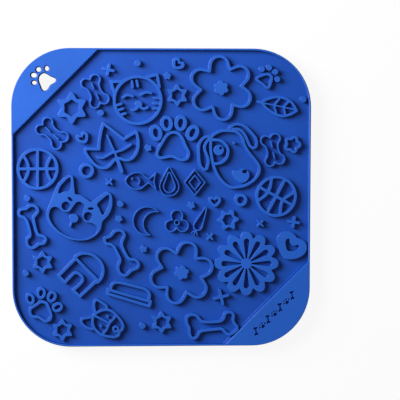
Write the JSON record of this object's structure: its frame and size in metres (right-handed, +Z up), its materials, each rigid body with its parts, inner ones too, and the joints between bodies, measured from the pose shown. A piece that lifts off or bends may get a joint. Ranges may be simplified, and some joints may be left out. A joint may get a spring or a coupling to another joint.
{
  "type": "lick mat",
  "caption": "Square silicone lick mat with a low rim, a paw-shaped hanging hole, a raised pattern of animal faces, flowers, bones and paws to lick food from, and suction cups below.",
  "frame": {"origin": "centre of the mat's square, on the surface that the suction cups' lips rest on", "axes": "+Z up out of the patterned face, +X along the mat's bottom edge towards the solid corner with the sunk marks, +Y along its left edge towards the corner with the hanging hole"},
  "size_m": [0.21, 0.21, 0.0095],
  "materials": {
    "silicone": "satin"
  },
  "bodies": {
    "root": {"mat_sheet": "silicone", "suction_cups": "silicone", "rim_right": "silicone", "rim_left": "silicone", "hanging_corner": "silicone", "grip_corner": "silicone", "cat_face": "silicone", "cat_features": "silicone", "hound_face": "silicone", "puppy_face": "silicone", "calf_face": "silicone", "flower_top": "silicone", "flower_bottom": "silicone", "daisy": "silicone", "ring_blossom": "silicone", "blossoms": "silicone", "pointed_leaf": "silicone", "ivy_leaf": "silicone", "long_bone_left": "silicone", "long_bone_middle": "silicone", "long_bone_bottom": "silicone", "paw_large": "silicone", "paw_middle": "silicone", "paw_small": "silicone", "ball_left": "silicone", "ball_right": "silicone", "kennel": "silicone", "comb": "silicone", "large_heart": "silicone", "large_star": "silicone", "ring_left": "silicone", "ring_right": "silicone", "large_cross": "silicone", "dots": "silicone", "fish": "silicone", "drop": "silicone", "lozenge": "silicone", "crescent": "silicone", "trefoil": "silicone", "carrot": "silicone", "small_bone_top": "silicone", "small_bone_left": "silicone", "small_bone_right": "silicone", "star_1": "silicone", "star_2": "silicone", "star_3": "silicone", "star_4": "silicone", "star_5": "silicone", "cross_1": "silicone", "cross_2": "silicone", "slant_cross_1": "silicone", "slant_cross_2": "silicone", "slant_cross_3": "silicone", "small_heart_1": "silicone", "small_heart_2": "silicone", "small_heart_3": "silicone"}
  },
  "joints": []
}
